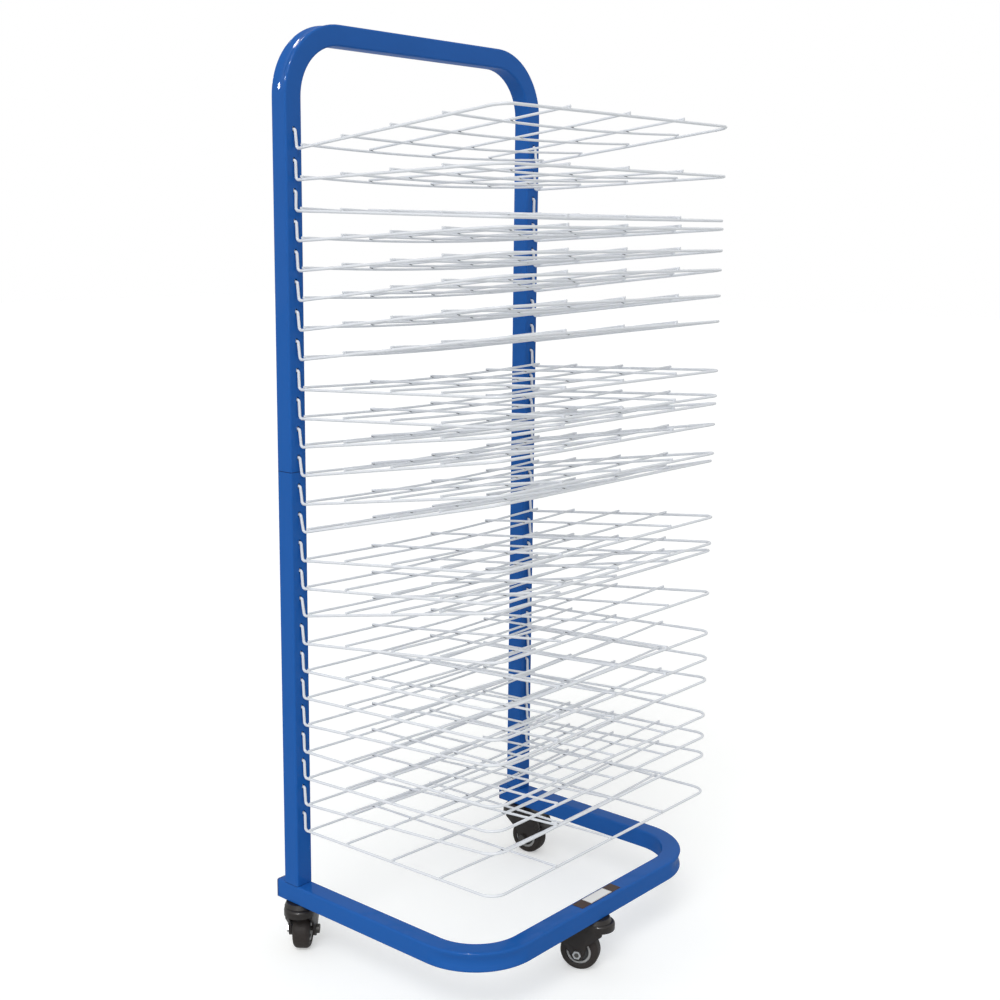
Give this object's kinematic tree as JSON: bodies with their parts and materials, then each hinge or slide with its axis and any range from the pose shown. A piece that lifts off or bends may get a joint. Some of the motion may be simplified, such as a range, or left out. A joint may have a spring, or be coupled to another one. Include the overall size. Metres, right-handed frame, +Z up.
{
  "type": "art drying rack",
  "caption": "Mobile drying rack for paintings: wire trays hook into a bent square-tube arch and lift about their hooks over a U-shaped base on three swivel castors.",
  "frame": {"origin": "on the floor, midway between the two posts and under their front faces", "axes": "+X forward over the trays, +Y to the rack's left, +Z up"},
  "size_m": [0.3786, 0.4865, 1.159],
  "materials": {
    "blue_paint": "gloss powder coat",
    "white_wire": "gloss coated wire",
    "bright_steel": "zinc plated",
    "black_plastic": "satin moulded",
    "grey_hub": "moulded",
    "black_tyre": "matt rubber",
    "cap_plastic": "moulded",
    "label_film": "bare film"
  },
  "bodies": {
    "rack_frame": {"base_frame": "blue_paint", "arch_frame": "blue_paint", "left_lower_post": "blue_paint", "right_lower_post": "blue_paint", "left_spigot": "bright_steel", "right_spigot": "bright_steel", "left_leg_cap": "cap_plastic", "right_leg_cap": "cap_plastic", "joint_screws": "bright_steel", "castor_inserts": "bright_steel", "label_plate": "label_film", "front_castor_stem": "bright_steel", "front_castor_bearing": "bright_steel", "rear_left_castor_stem": "bright_steel", "rear_left_castor_bearing": "bright_steel", "rear_right_castor_stem": "bright_steel", "rear_right_castor_bearing": "bright_steel"},
    "tray_01_body": {"tray_01": "white_wire"},
    "tray_02_body": {"tray_02": "white_wire"},
    "tray_03_body": {"tray_03": "white_wire"},
    "tray_04_body": {"tray_04": "white_wire"},
    "tray_05_body": {"tray_05": "white_wire"},
    "tray_06_body": {"tray_06": "white_wire"},
    "tray_07_body": {"tray_07": "white_wire"},
    "tray_08_body": {"tray_08": "white_wire"},
    "tray_09_body": {"tray_09": "white_wire"},
    "tray_10_body": {"tray_10": "white_wire"},
    "tray_11_body": {"tray_11": "white_wire"},
    "tray_12_body": {"tray_12": "white_wire"},
    "tray_13_body": {"tray_13": "white_wire"},
    "tray_14_body": {"tray_14": "white_wire"},
    "tray_15_body": {"tray_15": "white_wire"},
    "tray_16_body": {"tray_16": "white_wire"},
    "tray_17_body": {"tray_17": "white_wire"},
    "tray_18_body": {"tray_18": "white_wire"},
    "tray_19_body": {"tray_19": "white_wire"},
    "tray_20_body": {"tray_20": "white_wire"},
    "tray_21_body": {"tray_21": "white_wire"},
    "tray_22_body": {"tray_22": "white_wire"},
    "tray_23_body": {"tray_23": "white_wire"},
    "tray_24_body": {"tray_24": "white_wire"},
    "tray_25_body": {"tray_25": "white_wire"},
    "front_swivel": {"front_castor_fork": "black_plastic", "front_axle_bolt": "bright_steel", "front_axle_nut": "bright_steel"},
    "front_wheel": {"front_wheel_hub": "grey_hub", "front_tyre": "black_tyre"},
    "rear_left_swivel": {"rear_left_castor_fork": "black_plastic", "rear_left_axle_bolt": "bright_steel", "rear_left_axle_nut": "bright_steel"},
    "rear_left_wheel": {"rear_left_wheel_hub": "grey_hub", "rear_left_tyre": "black_tyre"},
    "rear_right_swivel": {"rear_right_castor_fork": "black_plastic", "rear_right_axle_bolt": "bright_steel", "rear_right_axle_nut": "bright_steel"},
    "rear_right_wheel": {"rear_right_wheel_hub": "grey_hub", "rear_right_tyre": "black_tyre"},
    "rear_left_brake": {"rear_left_brake_pedal": "black_plastic"},
    "rear_right_brake": {"rear_right_brake_pedal": "black_plastic"}
  },
  "joints": [
    {"name": "tray_01_lift", "type": "hinge", "parent": "rack_frame", "child": "tray_01_body", "pos_m": [-0.00075, 0, 1.0345], "axis": [0, -1, 0], "range_deg": [0, 63]},
    {"name": "tray_02_lift", "type": "hinge", "parent": "rack_frame", "child": "tray_02_body", "pos_m": [-0.00075, 0, 0.9995], "axis": [0, -1, 0], "range_deg": [0, 67.51]},
    {"name": "tray_03_lift", "type": "hinge", "parent": "rack_frame", "child": "tray_03_body", "pos_m": [-0.00075, 0, 0.9645], "axis": [0, -1, 0], "range_deg": [0, 71.01]},
    {"name": "tray_04_lift", "type": "hinge", "parent": "rack_frame", "child": "tray_04_body", "pos_m": [-0.00075, 0, 0.9295], "axis": [0, -1, 0], "range_deg": [0, 66.51]},
    {"name": "tray_05_lift", "type": "hinge", "parent": "rack_frame", "child": "tray_05_body", "pos_m": [-0.00075, 0, 0.8945], "axis": [0, -1, 0], "range_deg": [0, 65.01]},
    {"name": "tray_06_lift", "type": "hinge", "parent": "rack_frame", "child": "tray_06_body", "pos_m": [-0.00075, 0, 0.8595], "axis": [0, -1, 0], "range_deg": [0, 63.01]},
    {"name": "tray_07_lift", "type": "hinge", "parent": "rack_frame", "child": "tray_07_body", "pos_m": [-0.00075, 0, 0.8245], "axis": [0, -1, 0], "range_deg": [0, 62.51]},
    {"name": "tray_08_lift", "type": "hinge", "parent": "rack_frame", "child": "tray_08_body", "pos_m": [-0.00075, 0, 0.7895], "axis": [0, -1, 0], "range_deg": [0, 62.01]},
    {"name": "tray_09_lift", "type": "hinge", "parent": "rack_frame", "child": "tray_09_body", "pos_m": [-0.00075, 0, 0.7545], "axis": [0, -1, 0], "range_deg": [0, 67.01]},
    {"name": "tray_10_lift", "type": "hinge", "parent": "rack_frame", "child": "tray_10_body", "pos_m": [-0.00075, 0, 0.7195], "axis": [0, -1, 0], "range_deg": [0, 66.51]},
    {"name": "tray_11_lift", "type": "hinge", "parent": "rack_frame", "child": "tray_11_body", "pos_m": [-0.00075, 0, 0.6845], "axis": [0, -1, 0], "range_deg": [0, 62.01]},
    {"name": "tray_12_lift", "type": "hinge", "parent": "rack_frame", "child": "tray_12_body", "pos_m": [-0.00075, 0, 0.6495], "axis": [0, -1, 0], "range_deg": [0, 60.51]},
    {"name": "tray_13_lift", "type": "hinge", "parent": "rack_frame", "child": "tray_13_body", "pos_m": [-0.00075, 0, 0.6145], "axis": [0, -1, 0], "range_deg": [0, 61.01]},
    {"name": "tray_14_lift", "type": "hinge", "parent": "rack_frame", "child": "tray_14_body", "pos_m": [-0.00075, 0, 0.5795], "axis": [0, -1, 0], "range_deg": [0, 56.51]},
    {"name": "tray_15_lift", "type": "hinge", "parent": "rack_frame", "child": "tray_15_body", "pos_m": [-0.00075, 0, 0.5445], "axis": [0, -1, 0], "range_deg": [0, 63.51]},
    {"name": "tray_16_lift", "type": "hinge", "parent": "rack_frame", "child": "tray_16_body", "pos_m": [-0.00075, 0, 0.5095], "axis": [0, -1, 0], "range_deg": [0, 63.51]},
    {"name": "tray_17_lift", "type": "hinge", "parent": "rack_frame", "child": "tray_17_body", "pos_m": [-0.00075, 0, 0.4745], "axis": [0, -1, 0], "range_deg": [0, 59.01]},
    {"name": "tray_18_lift", "type": "hinge", "parent": "rack_frame", "child": "tray_18_body", "pos_m": [-0.00075, 0, 0.4395], "axis": [0, -1, 0], "range_deg": [0, 63.01]},
    {"name": "tray_19_lift", "type": "hinge", "parent": "rack_frame", "child": "tray_19_body", "pos_m": [-0.00075, 0, 0.4045], "axis": [0, -1, 0], "range_deg": [0, 66.51]},
    {"name": "tray_20_lift", "type": "hinge", "parent": "rack_frame", "child": "tray_20_body", "pos_m": [-0.00075, 0, 0.3695], "axis": [0, -1, 0], "range_deg": [0, 66.51]},
    {"name": "tray_21_lift", "type": "hinge", "parent": "rack_frame", "child": "tray_21_body", "pos_m": [-0.00075, 0, 0.3345], "axis": [0, -1, 0], "range_deg": [0, 65.51]},
    {"name": "tray_22_lift", "type": "hinge", "parent": "rack_frame", "child": "tray_22_body", "pos_m": [-0.00075, 0, 0.2995], "axis": [0, -1, 0], "range_deg": [0, 68.01]},
    {"name": "tray_23_lift", "type": "hinge", "parent": "rack_frame", "child": "tray_23_body", "pos_m": [-0.00075, 0, 0.2645], "axis": [0, -1, 0], "range_deg": [0, 67.01]},
    {"name": "tray_24_lift", "type": "hinge", "parent": "rack_frame", "child": "tray_24_body", "pos_m": [-0.00075, 0, 0.2295], "axis": [0, -1, 0], "range_deg": [0, 65.51]},
    {"name": "tray_25_lift", "type": "hinge", "parent": "rack_frame", "child": "tray_25_body", "pos_m": [-0.00075, 0, 0.1945], "axis": [0, -1, 0], "range_deg": [0, 68.51]},
    {"name": "front_castor_swivel", "type": "hinge", "parent": "rack_frame", "child": "front_swivel", "pos_m": [0.2995, 0, 0], "axis": [0, 0, 1], "continuous": true},
    {"name": "front_wheel_spin", "type": "hinge", "parent": "front_swivel", "child": "front_wheel", "pos_m": [0.28201, -0.00742, 0.025], "axis": [0.3907, -0.9205, 0], "continuous": true},
    {"name": "rear_left_castor_swivel", "type": "hinge", "parent": "rack_frame", "child": "rear_left_swivel", "pos_m": [-0.0095, 0.22, 0], "axis": [0, 0, 1], "continuous": true},
    {"name": "rear_left_wheel_spin", "type": "hinge", "parent": "rear_left_swivel", "child": "rear_left_wheel", "pos_m": [0.0094, 0.22199, 0.025], "axis": [-0.1045, 0.9945, 0], "continuous": true},
    {"name": "rear_right_castor_swivel", "type": "hinge", "parent": "rack_frame", "child": "rear_right_swivel", "pos_m": [-0.0095, -0.22, 0], "axis": [0, 0, 1], "continuous": true},
    {"name": "rear_right_wheel_spin", "type": "hinge", "parent": "rear_right_swivel", "child": "rear_right_wheel", "pos_m": [-0.0212, -0.20503, 0.025], "axis": [-0.788, -0.6157, 0], "continuous": true},
    {"name": "rear_left_brake_press", "type": "hinge", "parent": "rear_left_swivel", "child": "rear_left_brake", "pos_m": [0.03127, 0.22429, 0.047], "axis": [-0.1045, 0.9945, 0], "range_deg": [0, 17]},
    {"name": "rear_right_brake_press", "type": "hinge", "parent": "rear_right_swivel", "child": "rear_right_brake", "pos_m": [-0.03474, -0.18769, 0.047], "axis": [-0.788, -0.6157, 0], "range_deg": [0, 17]}
  ],
  "couplings": [
    {"joint": "tray_02_lift", "follows": "tray_01_lift", "ratio": 1.0714},
    {"joint": "tray_03_lift", "follows": "tray_01_lift", "ratio": 1.127},
    {"joint": "tray_04_lift", "follows": "tray_01_lift", "ratio": 1.0556},
    {"joint": "tray_05_lift", "follows": "tray_01_lift", "ratio": 1.0317},
    {"joint": "tray_06_lift", "follows": "tray_01_lift", "ratio": 1},
    {"joint": "tray_07_lift", "follows": "tray_01_lift", "ratio": 0.99206},
    {"joint": "tray_08_lift", "follows": "tray_01_lift", "ratio": 0.98413},
    {"joint": "tray_09_lift", "follows": "tray_01_lift", "ratio": 1.0635},
    {"joint": "tray_10_lift", "follows": "tray_01_lift", "ratio": 1.0556},
    {"joint": "tray_11_lift", "follows": "tray_01_lift", "ratio": 0.98413},
    {"joint": "tray_12_lift", "follows": "tray_01_lift", "ratio": 0.96032},
    {"joint": "tray_13_lift", "follows": "tray_01_lift", "ratio": 0.96825},
    {"joint": "tray_14_lift", "follows": "tray_01_lift", "ratio": 0.89682},
    {"joint": "tray_15_lift", "follows": "tray_01_lift", "ratio": 1.0079},
    {"joint": "tray_16_lift", "follows": "tray_01_lift", "ratio": 1.0079},
    {"joint": "tray_17_lift", "follows": "tray_01_lift", "ratio": 0.93651},
    {"joint": "tray_18_lift", "follows": "tray_01_lift", "ratio": 1},
    {"joint": "tray_19_lift", "follows": "tray_01_lift", "ratio": 1.0556},
    {"joint": "tray_20_lift", "follows": "tray_01_lift", "ratio": 1.0556},
    {"joint": "tray_21_lift", "follows": "tray_01_lift", "ratio": 1.0397},
    {"joint": "tray_22_lift", "follows": "tray_01_lift", "ratio": 1.0794},
    {"joint": "tray_23_lift", "follows": "tray_01_lift", "ratio": 1.0635},
    {"joint": "tray_24_lift", "follows": "tray_01_lift", "ratio": 1.0397},
    {"joint": "tray_25_lift", "follows": "tray_01_lift", "ratio": 1.0873}
  ]
}
